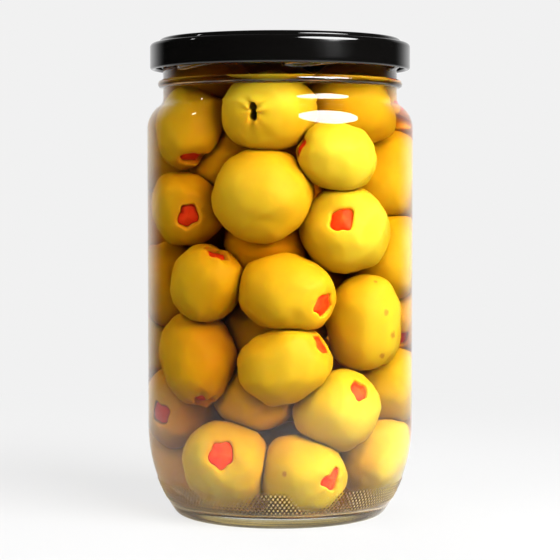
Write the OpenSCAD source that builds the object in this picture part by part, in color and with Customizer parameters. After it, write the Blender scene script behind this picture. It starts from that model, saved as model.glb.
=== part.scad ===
// Jar of stuffed olives in brine: a clear glass jar with a twist-off metal lid.
// The origin is the centre of the foot that the jar stands on, and +Z is up.

/* [Glass jar] */
// Height of the glass from the table to its mouth
jar_h = 153.2; // [120:0.2:200]
// Outside diameter of the neck
neck_d = 76.2; // [60:0.2:100]
// How far the body stands out from the neck
shoulder_out = 5.2; // [2:0.1:7.5]
// Thickness of the glass wall
wall = 2.7; // [1.8:0.1:3.4]
// Radius of the round shoulder
shoulder_r = 9; // [6.5:0.5:14]
// Radius of the hollow curve between shoulder and neck
throat_r = 3; // [2:0.5:5]
// Height at which the body begins to curve in to its foot
heel_h = 29; // [22:0.5:36]
// Radius of the long heel curve
heel_r = 49; // [44:0.5:80]
// Radius that rounds the edge of the foot
foot_r = 3; // [2:0.5:5]
// Thickness of the glass floor at the middle
floor_t = 3.25; // [3:0.25:8]
// Radius of the curve between wall and floor, inside
inner_corner_r = 7; // [5:0.5:12]
// How far the underside rises at the middle
push_up = 2.5; // [1.5:0.25:5]
// Width of the flat ring that the jar stands on
foot_ring_w = 4.2; // [2.5:0.1:8]

/* [Neck finish] */
// Height of the plain neck between the shoulder and the bead
plain_neck_h = 3.2; // [1:0.2:8]
// How far the ring bead below the lid stands out from the neck
bead_out = 1.7; // [0.8:0.1:2.4]
// Radius of the bead's round edge
bead_r = 1.35; // [0.8:0.05:1.8]
// Gap between the bottom of the lid and the bead
bead_gap = 3.3; // [2:0.1:6]
// Number of thread ridges round the neck
thread_count = 6; // [4:1:8]
// Radius of a thread ridge
thread_r = 1.3; // [0.9:0.05:1.6]
// How far a thread ridge stands out from the neck
thread_out = 1.5; // [0.8:0.1:2]
// Slope of the thread ridges, in degrees
thread_slope = 6.5; // [3:0.5:9]
// Share of the way round the neck that the ridges cover
thread_cover = 0.88; // [0.5:0.01:0.94]

/* [Lid] */
// Height of the lid's skirt, from its bottom edge to its shoulder
skirt_h = 8.6; // [7.5:0.1:14]
// Gap between the thread ridges and the inside of the skirt
skirt_gap = 2.1; // [1:0.1:3]
// Thickness of the metal
metal_t = 0.6; // [0.4:0.05:1]
// Radius of the rolled bottom edge
curl_r = 0.9; // [0.6:0.05:1.2]
// Radius of the lid's outer shoulder
lid_edge_r = 1.4; // [0.8:0.1:2]
// Gap between the glass lip and the metal of the raised rim
lip_gap = 0.7; // [0.3:0.1:1.2]
// How far the raised rim stands above the ledge
rim_rise = 1.5; // [0.8:0.1:2.5]
// Width of the raised rim
rim_w = 6; // [4:0.5:12]
// Depth of the sunk middle of the lid
panel_sink = 0.9; // [0.3:0.1:1]
// Thickness of the sealing ring under the raised rim
seal_t = 0.9; // [0.5:0.1:1.5]
// Width of one lug, in degrees
lug_angle = 12; // [8:1:20]
// Thickness of one lug
lug_t = 1.2; // [0.8:0.1:1.6]
// Clearance between the lugs and the glass
lug_clear = 0.25; // [0.15:0.05:0.5]

/* [Contents] */
// Free height between the brine and the lid
headspace = 3.6; // [2:0.2:12]

/* [Hidden] */
$fn = 96;
over = 0.5;                    // how far a cutting shape runs past what it cuts

neck_r = neck_d / 2;
body_r = neck_r + shoulder_out;

// Lid, worked out upwards from the mouth of the glass that it seals
lid_top_z = jar_h + seal_t + metal_t;
ledge_z = lid_top_z - rim_rise;
lid_z = ledge_z - skirt_h;
thread_ridge_r = neck_r + thread_out;
skirt_in_r = thread_ridge_r + skirt_gap;
lid_r = skirt_in_r + metal_t;
rim_in_r = neck_r + lip_gap;
rim_r = rim_in_r + metal_t;
panel_r = rim_r - rim_w;

// Bead, and the end of the neck below it
bead_z = lid_z - bead_gap - bead_r;
throat_z = bead_z - bead_r - plain_neck_h;

// Shoulder: a convex arc round (body_r - shoulder_r, shoulder_z) that meets a
// hollow arc round (neck_r + throat_r, throat_z), both tangent where they meet
shoulder_a = acos(1 - shoulder_out / (shoulder_r + throat_r));
shoulder_z = throat_z - (shoulder_r + throat_r) * sin(shoulder_a);
meet_r = body_r - shoulder_r + shoulder_r * cos(shoulder_a);
meet_z = shoulder_z + shoulder_r * sin(shoulder_a);

// Heel: a long arc round (heel_cr, heel_h) that meets the foot's small arc
heel_cr = body_r - heel_r;
foot_cr = heel_cr + sqrt(pow(heel_r - foot_r, 2) - pow(heel_h - foot_r, 2));
foot_a = atan2(foot_r - heel_h, foot_cr - heel_cr);
foot_meet_z = foot_r + foot_r * sin(foot_a);
ring_in = foot_cr - foot_ring_w;

// Floor: it bulges with the underside, and a corner arc joins it to the wall
inner_heel_r = heel_r - wall;
edge_floor_z = push_up + floor_t - push_up / 2;
corner_z = edge_floor_z + inner_corner_r;
corner_cr = heel_cr + sqrt(pow(inner_heel_r - inner_corner_r, 2) - pow(heel_h - corner_z, 2));
corner_a = atan2(corner_z - heel_h, corner_cr - heel_cr);
corner_meet_z = corner_z + inner_corner_r * sin(corner_a);
floor_top_z = push_up + floor_t;
floor_sag = floor_top_z - edge_floor_z;

// Lugs, and the ridges that they sit under
lug_z = lid_z + curl_r / 2;
lug_in_r = neck_r + 2 * lug_clear;
thread_step = 360 / thread_count;
thread_half_a = thread_step * thread_cover / 2;
lug_a = thread_half_a - lug_angle / 2;
lug_low_a = lug_a - lug_angle / 2;
thread_path_r = thread_ridge_r - thread_r;
thread_rise = thread_path_r * sin(lug_low_a) * sin(thread_slope);
thread_z = lug_z + lug_t + lug_clear + thread_r - thread_rise;

brine_z = jar_h - headspace;

// Radius of a circle whose arc rises by sag over a chord of half width half
function sag_r(half, sag) = (half * half + sag * sag) / (2 * sag);

// Half of the jar's body with its skin moved in by inset, from low_z up to the throat.
// Its pieces lap over each other, and core_r is inside it all the way up.
module body_half(inset, core_r, low_z) {
    translate([0, low_z]) square([core_r, throat_z - low_z + over]);
    // Straight wall
    translate([0, heel_h]) square([body_r - inset, shoulder_z - heel_h]);
    // Heel
    intersection() {
        translate([heel_cr, heel_h]) circle(r = heel_r - inset);
        translate([0, low_z]) square([body_r, heel_h - low_z + over]);
    }
    // Shoulder
    translate([body_r - shoulder_r, shoulder_z]) circle(r = shoulder_r - inset);
    translate([0, shoulder_z - over]) square([body_r - shoulder_r, over + shoulder_r - inset]);
    throat_half(inset);
}

// Hollow curve between the shoulder and the neck
module throat_half(inset) {
    low_r = meet_r - inset * cos(shoulder_a);
    low_z = meet_z - inset * sin(shoulder_a) - over;
    difference() {
        translate([0, low_z]) square([low_r, throat_z - low_z]);
        translate([neck_r + throat_r, throat_z]) circle(r = throat_r + inset);
    }
}

// The glass as if it were solid
module glass_outside_half() {
    body_half(0, foot_cr, foot_meet_z);
    // Foot
    square([foot_cr, foot_meet_z + over]);
    translate([foot_cr, foot_r]) circle(r = foot_r);
    // Neck, up to the round lip
    translate([0, throat_z - over]) square([neck_r, jar_h - wall / 2 - throat_z + over]);
    translate([neck_r - wall / 2, jar_h - wall / 2]) circle(r = wall / 2);
    // Bead
    translate([neck_r + bead_out - bead_r, bead_z]) circle(r = bead_r);
}

// The space inside the glass, up to top_z, which is above the throat
module glass_inside_half(top_z) {
    difference() {
        union() {
            body_half(wall, corner_cr, corner_meet_z);
            translate([0, edge_floor_z])
                square([corner_cr, corner_meet_z - edge_floor_z + over]);
            translate([corner_cr, corner_z]) circle(r = inner_corner_r);
            translate([0, throat_z - over]) square([neck_r - wall, top_z - throat_z + over]);
        }
        bulge_half(corner_cr, edge_floor_z, floor_sag);
    }
}

// Half of a shallow dome of radius half that rises by sag above z
module bulge_half(half, z, sag) {
    dome_r = sag_r(half, sag);
    intersection() {
        translate([0, z + sag - dome_r]) circle(r = dome_r);
        translate([0, z - over]) square([half, sag + over]);
    }
}

// One sloping thread ridge, at the front of the X axis
module thread_ridge() {
    rotate([thread_slope, 0, 0]) rotate([0, 0, -thread_half_a])
        rotate_extrude(angle = 2 * thread_half_a)
            translate([thread_path_r, 0]) circle(r = thread_r, $fn = 32);
}

module jar() {
    color([0.86, 0.9, 0.86, 0.35])
    difference() {
        union() {
            rotate_extrude() glass_outside_half();
            for (i = [0 : thread_count - 1])
                rotate([0, 0, i * thread_step]) translate([0, 0, thread_z]) thread_ridge();
        }
        rotate_extrude() glass_inside_half(jar_h + over);
        rotate_extrude() bulge_half(ring_in, 0, push_up);
    }
}

// The lid's metal as if it were solid
module lid_outside_half() {
    translate([0, lid_z + curl_r])
        square([lid_r, skirt_h - curl_r - lid_edge_r]);
    translate([lid_r - lid_edge_r, ledge_z - lid_edge_r]) circle(r = lid_edge_r);
    translate([0, lid_z]) square([lid_r - lid_edge_r, skirt_h]);
    translate([0, lid_z]) square([rim_r - rim_rise, lid_top_z - lid_z]);
    translate([rim_r - rim_rise, ledge_z]) circle(r = rim_rise);
}

// The space under the lid: inside the skirt, and up to the sealing ring
module lid_inside_half() {
    translate([0, lid_z - over]) square([skirt_in_r, skirt_h - metal_t + over]);
    translate([0, lid_z]) square([rim_in_r, jar_h - lid_z]);
}

// The sunk middle, with a sloping side
module panel_half() {
    polygon([
        [0, lid_top_z - panel_sink],
        [panel_r - 2 * panel_sink, lid_top_z - panel_sink],
        [panel_r, lid_top_z],
        [panel_r, lid_top_z + over],
        [0, lid_top_z + over]
    ]);
}

// One lug, turned in from the rolled edge, at the front of the X axis
module lug() {
    rotate([0, 0, -lug_angle / 2])
        rotate_extrude(angle = lug_angle)
            translate([lug_in_r, lug_z]) square([skirt_in_r + metal_t / 2 - lug_in_r, lug_t]);
}

module lid() {
    color([0.03, 0.03, 0.03]) {
        difference() {
            rotate_extrude() lid_outside_half();
            rotate_extrude() lid_inside_half();
            rotate_extrude() panel_half();
        }
        rotate_extrude() translate([lid_r - curl_r, lid_z + curl_r]) circle(r = curl_r, $fn = 32);
        for (i = [0 : thread_count - 1]) rotate([0, 0, i * thread_step + lug_a]) lug();
    }
}

module brine() {
    color([0.93, 0.79, 0.12, 0.8])
    rotate_extrude() glass_inside_half(brine_z);
}

jar();
lid();
brine();
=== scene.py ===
"""Jar of stuffed olives: a clear glass jar with a black twist-off lid, brine, and the olives sunk in it."""

import math
from typing import NamedTuple

import bpy
import numpy as np
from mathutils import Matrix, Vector
from mathutils import noise as lump_noise


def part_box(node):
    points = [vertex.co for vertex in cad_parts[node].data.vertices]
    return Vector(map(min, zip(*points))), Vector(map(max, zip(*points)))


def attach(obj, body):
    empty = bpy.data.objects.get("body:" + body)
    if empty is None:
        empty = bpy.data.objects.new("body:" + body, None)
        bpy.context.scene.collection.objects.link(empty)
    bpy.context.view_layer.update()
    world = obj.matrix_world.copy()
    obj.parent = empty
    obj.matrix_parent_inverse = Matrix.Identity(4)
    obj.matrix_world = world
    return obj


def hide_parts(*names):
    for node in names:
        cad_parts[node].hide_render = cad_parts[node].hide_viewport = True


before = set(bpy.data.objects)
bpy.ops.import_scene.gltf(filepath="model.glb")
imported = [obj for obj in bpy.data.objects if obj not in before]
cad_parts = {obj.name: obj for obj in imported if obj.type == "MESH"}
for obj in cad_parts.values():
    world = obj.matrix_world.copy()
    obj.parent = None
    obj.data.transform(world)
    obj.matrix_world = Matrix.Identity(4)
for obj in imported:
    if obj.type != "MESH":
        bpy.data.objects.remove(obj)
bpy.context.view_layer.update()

bl_info = {
    "name": "Jar of Stuffed Olives",
    "version": (1, 0, 0),
    "blender": (4, 5, 0),
    "location": "3D View > Sidebar > Olive Jar",
    "description": "Builds a glass jar of pimento-stuffed olives in brine, with its lid and a plain studio",
    "category": "Add Mesh",
}

MM = 0.001
TAU = 2 * math.pi

JAR_LOW, JAR_HIGH = (np.array(corner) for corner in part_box("jar"))
LID_LOW, LID_HIGH = (np.array(corner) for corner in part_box("lid"))
BRINE_LOW, BRINE_HIGH = (np.array(corner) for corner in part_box("brine"))


# ---------------------------------------------------------------- settings


def length(name, description, default):
    """A setting that is a length, in metres."""
    return bpy.props.FloatProperty(name=name, description=description, default=default, unit="LENGTH")


def colour(name, description, default):
    """A setting that is a colour."""
    return bpy.props.FloatVectorProperty(
        name=name, description=description, default=default, subtype="COLOR"
    )


class JarSettings(bpy.types.PropertyGroup):
    stipple_count: bpy.props.IntProperty(
        name="Stipple dots", description="Moulded dots in one row round the heel", default=176, min=20
    )
    stipple_row: length("Stipple rows", "Height over which the rows of dots repeat", 1.9 * MM)
    stipple_height: length("Stipple height", "How far a moulded dot stands out", 0.26 * MM)
    tint: colour("Glass colour", "Faint colour of the glass", (0.965, 0.985, 0.955))


class LidSettings(bpy.types.PropertyGroup):
    enamel: colour("Enamel", "Colour of the lid's enamel", (0.0015, 0.0014, 0.0013))
    lug_count: bpy.props.IntProperty(
        name="Lugs", description="Lugs turned in under the glass threads", default=6, min=3
    )


class FillSettings(bpy.types.PropertyGroup):
    olive_count: bpy.props.IntProperty(
        name="Olives", description="Olives in the jar, placed ones included", default=50, min=24
    )
    seed: bpy.props.IntProperty(
        name="Seed", description="Seed for the olives inside and at the back", default=7
    )
    skin: colour("Olive skin", "Main colour of the olives", (0.365, 0.232, 0.0006))
    stuffing: colour("Pimento", "Colour of the stuffing", (0.55, 0.022, 0.004))


class StudioSettings(bpy.types.PropertyGroup):
    distance: length("Camera distance", "From the camera to the jar's axis", 0.606)
    height: length("Camera height", "Height of the camera above the floor", 0.109)
    pitch: bpy.props.FloatProperty(
        name="Camera pitch",
        description="How far the camera looks down",
        default=math.radians(3.1),
        subtype="ANGLE",
    )
    lens: bpy.props.FloatProperty(name="Lens", description="Focal length in millimetres", default=118.9)
    key_power: bpy.props.FloatProperty(
        name="Key light", description="Power of the large soft light", default=21.0
    )
    pale: colour("Backdrop", "Colour of the floor and the backdrop", (0.88, 0.88, 0.88))


# ---------------------------------------------------------------- profiles

# The glass, in millimetres, in the same sizes as the CAD solid
BODY_R = float(JAR_HIGH[0] - JAR_LOW[0]) / 2 / MM
JAR_H = float(JAR_HIGH[2]) / MM
WALL = 2.7
NECK_R = 38.1
SHOULDER_R, THROAT_R = 9.0, 3.0
HEEL_H, HEEL_R, FOOT_R = 29.0, 49.0, 3.0
CORNER_R = 7.0
PUSH_UP, FLOOR_TOP, FLOOR_EDGE = 2.5, 5.75, 4.5
FOOT_RING_W = 4.2
BEAD_Z, BEAD_R, BEAD_OUT = 139.95, 1.35, 1.7
THREAD_COUNT, THREAD_R, THREAD_OUT = 6, 1.3, 1.5
THREAD_Z, THREAD_HALF, THREAD_SLOPE = 146.72, math.radians(26.4), math.radians(6.5)
THREAD_LOW, THREAD_HIGH = 142.0, JAR_H - 2.4
STIPPLE_LOW, STIPPLE_HIGH = 4.6, 12.8
FOOT_H = 3.6

THROAT_Z = BEAD_Z - BEAD_R - 3.2
SHOULDER_A = math.acos(1 - (BODY_R - NECK_R) / (SHOULDER_R + THROAT_R))
SHOULDER_Z = THROAT_Z - (SHOULDER_R + THROAT_R) * math.sin(SHOULDER_A)
HEEL_CR = BODY_R - HEEL_R


def arc(centre_r, centre_z, radius, start, end, step):
    """Points (r, z) along an arc, in degrees, about step millimetres apart."""
    count = max(2, int(abs(math.radians(end - start)) * radius / step) + 1)
    angles = np.radians(np.linspace(start, end, count))
    return [(centre_r + radius * math.cos(a), centre_z + radius * math.sin(a)) for a in angles]


def line(r0, z0, r1, z1, step):
    """Points (r, z) along a straight line, both ends included."""
    count = max(2, int(math.hypot(r1 - r0, z1 - z0) / step) + 1)
    return [(r0 + (r1 - r0) * t, z0 + (z1 - z0) * t) for t in np.linspace(0, 1, count)]


def dome(half, z, sag, step):
    """Points (r, z) along a shallow dome, from its edge in to the axis."""
    radius = (half * half + sag * sag) / (2 * sag)
    count = max(2, int(half / step) + 1)
    radii = np.linspace(half, 0, count)
    return [(r, z + sag - radius + math.sqrt(radius * radius - r * r)) for r in radii]


def join(*parts):
    """One outline from several, without the points that two of them share."""
    points = []
    for part in parts:
        for r, z in part:
            if not points or math.hypot(points[-1][0] - r, points[-1][1] - z) > 0.004:
                points.append((r, z))
    return points


def body_outline(inset, step):
    """Heel, wall, shoulder and throat of the jar, its skin moved in by inset, from the foot upwards."""
    turn = math.degrees(SHOULDER_A)
    if inset > 0:
        heel_r = HEEL_R - inset
        corner_z = FLOOR_EDGE + CORNER_R
        corner_cr = corner_centre(inset)
        meet = math.degrees(math.atan2(corner_z - HEEL_H, corner_cr - HEEL_CR))
        foot = arc(corner_cr, corner_z, CORNER_R, -90, meet, step * 0.6)
    else:
        heel_r = HEEL_R
        corner_cr = foot_centre()
        meet = math.degrees(math.atan2(FOOT_R - HEEL_H, corner_cr - HEEL_CR))
        foot = arc(corner_cr, FOOT_R, FOOT_R, -90, meet, 0.3)
    return join(
        foot,
        arc(HEEL_CR, HEEL_H, heel_r, meet, 0, step),
        line(BODY_R - inset, HEEL_H, BODY_R - inset, SHOULDER_Z, step * 3),
        arc(BODY_R - SHOULDER_R, SHOULDER_Z, SHOULDER_R - inset, 0, turn, step * 0.5),
        arc(NECK_R + THROAT_R, THROAT_Z, THROAT_R + inset, 180 + turn, 180, step * 0.5),
    )


def foot_centre():
    """Distance from the axis to the centre of the arc that rounds the foot."""
    return HEEL_CR + math.sqrt((HEEL_R - FOOT_R) ** 2 - (HEEL_H - FOOT_R) ** 2)


def corner_centre(inset):
    """Distance from the axis to the centre of the arc between the glass floor and the wall."""
    return HEEL_CR + math.sqrt((HEEL_R - inset - CORNER_R) ** 2 - (HEEL_H - FLOOR_EDGE - CORNER_R) ** 2)


def inner_radius(z, inset):
    """Inside radius of the glass at height z, for arrays, in millimetres."""
    outline = np.array(INSIDE)
    return np.interp(z, outline[:, 1], outline[:, 0]) - inset


def floor_height(r):
    """Height of the glass floor at distance r from the axis, in millimetres."""
    sag = FLOOR_TOP - FLOOR_EDGE
    half = corner_centre(WALL)
    radius = (half * half + sag * sag) / (2 * sag)
    return np.where(r < half, FLOOR_TOP - radius + np.sqrt(np.maximum(radius**2 - r**2, 0)), FLOOR_EDGE)


INSIDE = join(body_outline(WALL, 1.5), [(NECK_R - WALL, THROAT_Z), (NECK_R - WALL, JAR_H)])


# ---------------------------------------------------------------- mesh helpers


def new_piece(name, vertices, faces, material, smooth=True):
    """An object at the origin, made of these vertices in metres, with one material."""
    mesh = bpy.data.meshes.new(name)
    mesh.from_pydata([tuple(map(float, v)) for v in vertices], [], [tuple(map(int, f)) for f in faces])
    mesh.materials.append(material)
    if smooth:
        mesh.shade_smooth()
    piece = bpy.data.objects.new(name, mesh)
    bpy.context.scene.collection.objects.link(piece)
    return piece


def lathe(rings):
    """Vertices and faces of a shape turned about Z. Each ring is (r, z, count), in millimetres;
    a ring on the axis has r = 0, and where the count changes it is by a whole factor."""
    vertices, faces, starts = [], [], []
    for r, z, count in rings:
        starts.append(len(vertices))
        if r < 1e-6:
            vertices.append((0, 0, z * MM))
            continue
        angles = np.arange(count) * TAU / count
        vertices.extend(zip(r * MM * np.cos(angles), r * MM * np.sin(angles), np.full(count, z * MM)))
    for k in range(len(rings) - 1):
        a, b = starts[k], starts[k + 1]
        na, nb = rings[k][2], rings[k + 1][2]
        if rings[k][0] < 1e-6:
            faces.extend((a, b + (i + 1) % nb, b + i) for i in range(nb))
        elif rings[k + 1][0] < 1e-6:
            faces.extend((a + i, a + (i + 1) % na, b) for i in range(na))
        elif na == nb:
            faces.extend((a + i, a + (i + 1) % na, b + (i + 1) % nb, b + i) for i in range(na))
        elif na < nb:
            factor = nb // na
            for i in range(na):
                nxt = a + (i + 1) % na
                row = [b + (i * factor + j) % nb for j in range(factor + 1)]
                faces.extend((a + i, row[j + 1], row[j]) for j in range(factor // 2))
                faces.append((a + i, nxt, row[factor // 2]))
                faces.extend((nxt, row[j + 1], row[j]) for j in range(factor // 2, factor))
        else:
            factor = na // nb
            for i in range(nb):
                nxt = b + (i + 1) % nb
                row = [a + (i * factor + j) % na for j in range(factor + 1)]
                faces.extend((row[j], row[j + 1], b + i) for j in range(factor // 2))
                faces.append((b + i, row[factor // 2], nxt))
                faces.extend((row[j], row[j + 1], nxt) for j in range(factor // 2, factor))
    return vertices, faces


def turned_rings(outline, count):
    """The rings of an outline that starts and ends on the axis."""
    rings = [(r, z, count) for r, z in outline]
    rings[0], rings[-1] = (0.0, *rings[0][1:]), (0.0, *rings[-1][1:])
    return rings


def plug(tree, socket, value):
    """Links another node's output to this input, or sets the input to a colour or a plain value."""
    if isinstance(value, bpy.types.NodeSocket):
        tree.links.new(value, socket)
    elif socket.type == "RGBA":
        socket.default_value = (*value[:3], 1.0)
    else:
        socket.default_value = value


def add_node(tree, kind, inputs=None, **choices):
    """A new node with these choices and inputs; an input is a value or another node's output."""
    node = tree.nodes.new(kind)
    for name, choice in choices.items():
        setattr(node, name, choice)
    for key, value in (inputs or {}).items():
        plug(tree, node.inputs[key], value)
    return node


def apply_nodes(piece, tree, values):
    """Runs a Geometry Nodes tree, with these named inputs, and keeps its result as a plain mesh."""
    modifier = piece.modifiers.new(tree.name, "NODES")
    modifier.node_group = tree
    for item in tree.interface.items_tree:
        if item.item_type == "SOCKET" and item.in_out == "INPUT" and item.name in values:
            modifier[item.identifier] = values[item.name]
    depsgraph = bpy.context.evaluated_depsgraph_get()
    depsgraph.update()
    mesh = bpy.data.meshes.new_from_object(piece.evaluated_get(depsgraph), depsgraph=depsgraph)
    old = piece.data
    piece.modifiers.clear()
    piece.data = mesh
    mesh.name = piece.name
    bpy.data.meshes.remove(old)
    mesh.shade_smooth()


def new_tree(name, inputs):
    """A Geometry Nodes tree with a geometry input and output, and named inputs of these kinds."""
    tree = bpy.data.node_groups.new(name, "GeometryNodeTree")
    tree.interface.new_socket("Geometry", in_out="INPUT", socket_type="NodeSocketGeometry")
    for label, kind in inputs.items():
        tree.interface.new_socket(label, in_out="INPUT", socket_type=f"NodeSocket{kind}")
    tree.interface.new_socket("Geometry", in_out="OUTPUT", socket_type="NodeSocketGeometry")
    return tree, add_node(tree, "NodeGroupInput").outputs


def end_tree(tree, geometry, material):
    """Makes the geometry real, gives it its material and sends it out of the tree."""
    real = add_node(tree, "GeometryNodeRealizeInstances", {0: geometry}).outputs[0]
    dressed = add_node(tree, "GeometryNodeSetMaterial", {"Geometry": real, "Material": material})
    add_node(tree, "NodeGroupOutput", {0: dressed.outputs[0]})


def math_node(tree, operation, *values):
    """The output of a Math node on numbers or other nodes' outputs."""
    return add_node(tree, "ShaderNodeMath", dict(enumerate(values)), operation=operation).outputs[0]


def product(tree, value, *others):
    """The value times each of the others."""
    for other in others:
        value = math_node(tree, "MULTIPLY", value, other)
    return value


def one_less(tree, value):
    """What is left of 1 when the value is taken away."""
    return math_node(tree, "SUBTRACT", 1.0, value)


def smooth_range(tree, value, low, high):
    """0 below low, 1 above high, smooth between."""
    limits = {"Value": value, "From Min": low, "From Max": high}
    return add_node(tree, "ShaderNodeMapRange", limits, interpolation_type="SMOOTHSTEP").outputs["Result"]


# ---------------------------------------------------------------- materials


def new_material(name):
    """A material, its node tree, and the places of the points that it covers."""
    material = bpy.data.materials.new(name)
    material.use_nodes = True
    tree = material.node_tree
    tree.nodes.clear()
    add_node(tree, "ShaderNodeOutputMaterial")
    return material, tree, add_node(tree, "ShaderNodeTexCoord").outputs["Object"]


def set_surface(tree, shader):
    """Makes this shader the material's surface."""
    plug(tree, tree.nodes["Material Output"].inputs["Surface"], shader)


def noise(tree, vector, scale, detail, roughness=0.5):
    """A noise texture on the given coordinates; returns its factor."""
    inputs = {"Vector": vector, "Scale": scale, "Detail": detail, "Roughness": roughness}
    return add_node(tree, "ShaderNodeTexNoise", inputs).outputs["Fac"]


def mix_colour(tree, factor, first, second):
    """A blend of two colours, each a tuple or another node's output."""
    inputs = {0: factor, 6: first, 7: second}
    return add_node(tree, "ShaderNodeMix", inputs, data_type="RGBA").outputs[2]


def mix_shaders(tree, factor, first, second):
    """A blend of two shaders."""
    return add_node(tree, "ShaderNodeMixShader", {"Fac": factor, 1: first, 2: second}).outputs[0]


def diffuse(tree, tint):
    """A matt shader of this colour."""
    return add_node(tree, "ShaderNodeBsdfDiffuse", {"Color": tint}).outputs[0]


def bump(tree, height, strength, distance):
    """The normal of a surface with this relief."""
    inputs = {"Height": height, "Strength": strength, "Distance": distance}
    return add_node(tree, "ShaderNodeBump", inputs).outputs["Normal"]


def attribute(tree, name):
    """The value a mesh carries under this name."""
    return add_node(tree, "ShaderNodeAttribute", attribute_name=name).outputs["Fac"]


def light_path(tree, kind):
    """1 for rays of this kind."""
    return add_node(tree, "ShaderNodeLightPath").outputs[f"Is {kind} Ray"]


def clear_material(name, tint, ior, shade, wave_scale, wave_height, gloss):
    """A clear body that bends light, and lets light in to what it holds as a plain shade."""
    material, tree, place = new_material(name)
    waves = noise(tree, place, wave_scale, 1.0)
    shader = add_node(tree, "ShaderNodeBsdfPrincipled", {
        "Base Color": tint,
        "Transmission Weight": 1.0,
        "Roughness": 0.0,
        "IOR": ior,
        "Specular Tint": (gloss, gloss, gloss),
        "Normal": bump(tree, waves, 1.0, wave_height),
    })
    through = add_node(tree, "ShaderNodeBsdfTransparent", {"Color": shade})
    set_surface(tree, mix_shaders(tree, light_path(tree, "Shadow"), shader.outputs[0], through.outputs[0]))
    return material


def glass_material(name, tint, gloss=1.0):
    """Clear glass with slow waves in its surface; gloss is how much of its shine is left."""
    return clear_material(name, tint, 1.5, (0.97, 0.985, 0.965), 35, 0.03 * MM, gloss)


def paint_knurl_glints_and_shade(material, tint):
    """Painted highlights on the tops of the stippled dots and painted shade in their dark green hollows, in
    patches, where brine is behind the band.
    """
    tree = material.node_tree
    shader = tree.nodes["Principled BSDF"]
    place = tree.nodes["Texture Coordinate"].outputs["Object"]
    dots = attribute(tree, "dots")
    patchy = smooth_range(tree, noise(tree, place, 90, 2.0), 0.38, 0.55)
    band = product(tree, attribute(tree, "band"), attribute(tree, "gap"), patchy)
    # Painted shade: the hollows between the dots are darkened to a dark green.
    painted_hollow_shade = product(tree, band, one_less(tree, smooth_range(tree, dots, 0.0, 0.35)))
    plug(tree, shader.inputs["Base Color"], mix_colour(tree, painted_hollow_shade, tint, (0.12, 0.09, 0.02)))
    # Painted highlights: a pale matt share on the dot tops stands in for their glints.
    top = product(tree, band, smooth_range(tree, dots, 0.3, 0.75), 0.6)
    with_painted_glints = mix_shaders(tree, top, shader.outputs[0], diffuse(tree, (0.80, 0.62, 0.22)))
    plug(tree, tree.nodes["Mix Shader"].inputs[1], with_painted_glints)


def paint_foot_amber_light(material):
    """Painted light and shade round the thick foot: uneven amber and dark green streaks in the glass's
    colour, that stand in for the light of the food carried through it.
    """
    tree = material.node_tree
    shader = tree.nodes["Principled BSDF"]
    place = tree.nodes["Texture Coordinate"].outputs["Object"]
    stretch = add_node(tree, "ShaderNodeVectorMath", {0: place, 1: (30, 30, 1400)}, operation="MULTIPLY")
    streaks = smooth_range(tree, noise(tree, stretch.outputs["Vector"], 1.0, 3.0), 0.36, 0.62)
    # Painted light and shade: the glass's colour runs from dark green to amber.
    tint = mix_colour(tree, streaks, (0.10, 0.07, 0.01), (0.66, 0.50, 0.17))
    plug(tree, shader.inputs["Base Color"], tint)
    plug(tree, shader.inputs["Roughness"], 0.08)


def brine_material():
    """Cloudless brine, amber where it is deep."""
    material = clear_material(
        "brine_liquid", (1.0, 0.99, 0.95), 1.34, (1.0, 0.99, 0.97), 40, 0.02 * MM, 0.1
    )
    tree = material.node_tree
    volume = add_node(tree, "ShaderNodeVolumeAbsorption", {"Color": (0.93, 0.74, 0.25), "Density": 75.0})
    plug(tree, tree.nodes["Material Output"].inputs["Volume"], volume.outputs[0])
    return material


def enamel_material(tint):
    """Glossy baked enamel with a faint orange peel."""
    material, tree, place = new_material("black_enamel")
    cloud = noise(tree, place, 60, 3.0)
    dark, light = (tuple(c * share for c in tint) for share in (0.7, 1.4))
    shader = add_node(tree, "ShaderNodeBsdfPrincipled", {
        "Base Color": mix_colour(tree, cloud, dark, light),
        "Roughness": smooth_range(tree, cloud, -0.2, 4.0),
        "Normal": bump(tree, noise(tree, place, 900, 2.0), 0.15, 0.02 * MM),
    })
    set_surface(tree, shader.outputs[0])
    return material


def spots(tree, place, centres):
    """1 inside any of these round spots (centre in metres, radius in metres), 0 outside."""
    total = 0.0
    for centre, radius in centres:
        away = add_node(tree, "ShaderNodeVectorMath", {0: place, 1: centre}, operation="DISTANCE")
        ragged = math_node(tree, "MULTIPLY_ADD", noise(tree, place, 900, 2.0), radius, away.outputs["Value"])
        spot = one_less(tree, smooth_range(tree, ragged, radius * 0.9, radius * 1.6))
        total = math_node(tree, "MAXIMUM", total, spot)
    return total


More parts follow.
